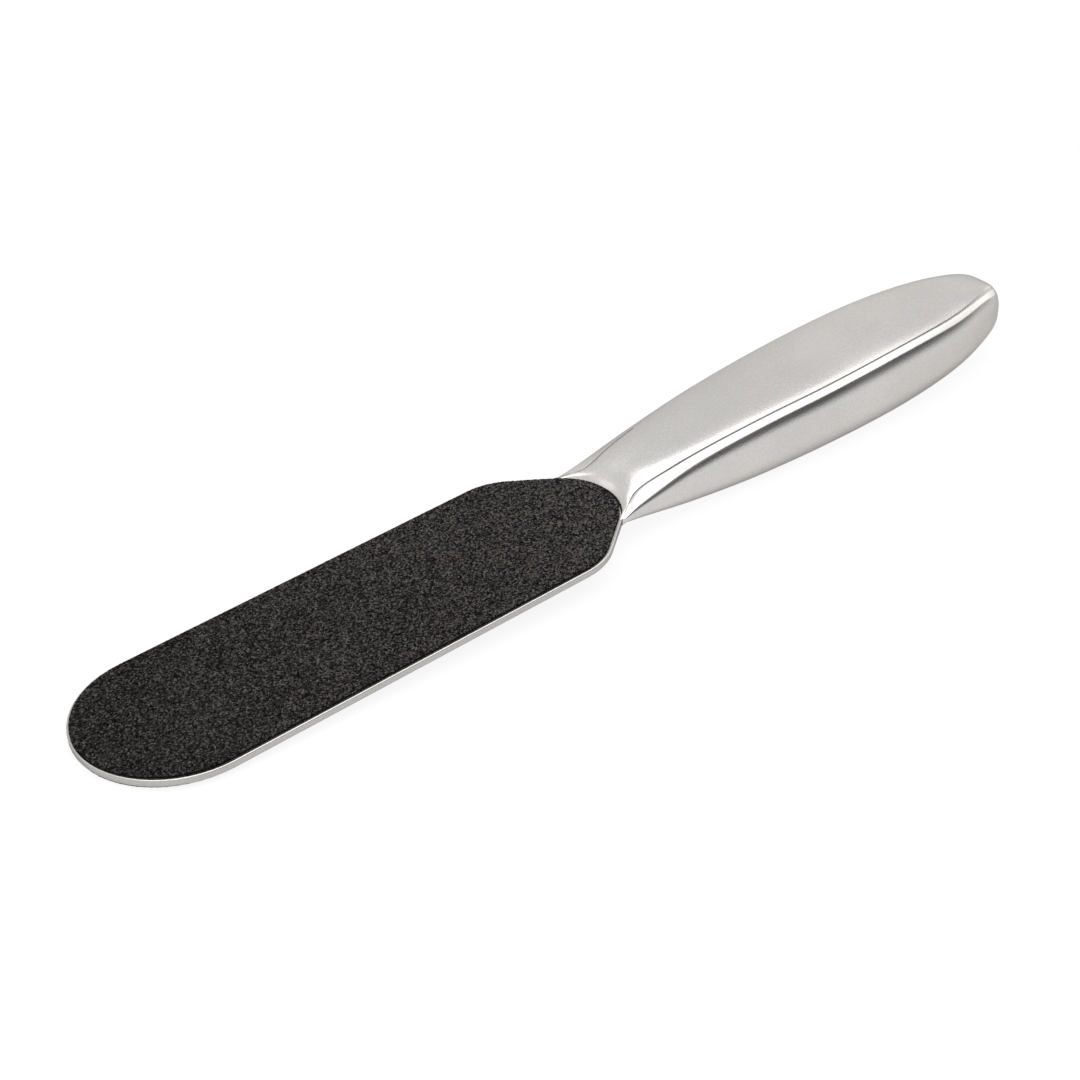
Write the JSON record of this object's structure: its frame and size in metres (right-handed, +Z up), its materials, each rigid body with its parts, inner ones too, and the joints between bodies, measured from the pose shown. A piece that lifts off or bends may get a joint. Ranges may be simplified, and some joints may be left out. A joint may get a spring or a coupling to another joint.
{
  "type": "pedicure file",
  "caption": "Flat steel foot file with a stick-on abrasive pad on each face and a hollow, creased steel handle.",
  "frame": {"origin": "middle of the bounding box in plan, on the surface that the file lies on", "axes": "+X from the rounded nose to the butt of the handle, +Z up; the file rests on its nose and the belly of its handle, so the paddle leans 2.3 degrees nose down"},
  "size_m": [0.24, 0.0378, 0.0179],
  "materials": {
    "plate_steel": "satin stainless steel sheet with a ground edge",
    "handle_steel": "fine satin polish",
    "bedding_resin": "cast resin, unseen",
    "adhesive_film": "pressure sensitive adhesive film",
    "backing_paper": "latex-saturated paper",
    "coarse_grit": "black silicon carbide grit, coarse",
    "fine_grit": "black silicon carbide grit, fine"
  },
  "bodies": {
    "root": {"file_plate": "plate_steel", "upper_handle_shell": "handle_steel", "lower_handle_shell": "handle_steel", "tang_bedding": "bedding_resin", "coarse_pad_adhesive_film": "adhesive_film", "coarse_pad_backing": "backing_paper", "coarse_pad_grit": "coarse_grit", "fine_pad_adhesive_film": "adhesive_film", "fine_pad_backing": "backing_paper", "fine_pad_grit": "fine_grit"}
  },
  "joints": []
}
